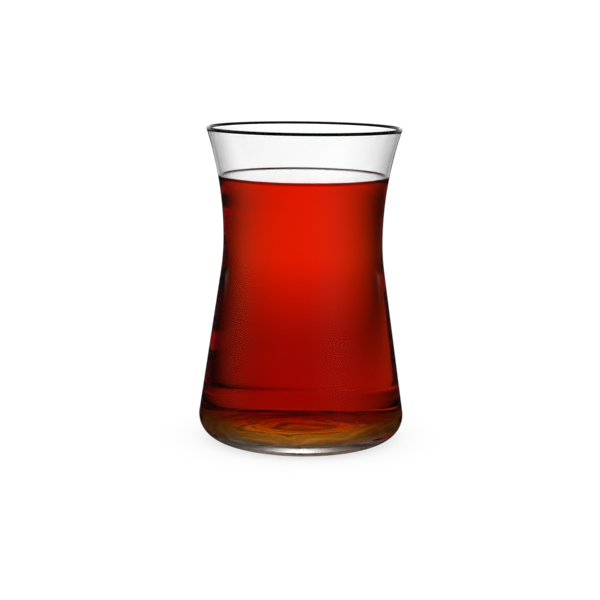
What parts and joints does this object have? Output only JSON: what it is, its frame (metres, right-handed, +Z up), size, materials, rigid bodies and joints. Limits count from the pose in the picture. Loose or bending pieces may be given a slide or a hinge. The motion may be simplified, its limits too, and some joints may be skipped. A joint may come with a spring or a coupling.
{
  "type": "glass of tea",
  "caption": "Clear waisted tea glass with a flared round-lipped rim, a thin floor and a rounded heel, filled with red-brown black tea.",
  "frame": {"origin": "centre of the foot, on the plane that the glass stands on", "axes": "+Z up along the axis of the glass; the glass is round, so +X and +Y are any two level directions"},
  "size_m": [0.0596, 0.0596, 0.09],
  "materials": {
    "glass": "clear, fire-polished",
    "tea": "clear liquid"
  },
  "bodies": {
    "root": {"glass": "glass", "tea": "tea"}
  },
  "joints": []
}
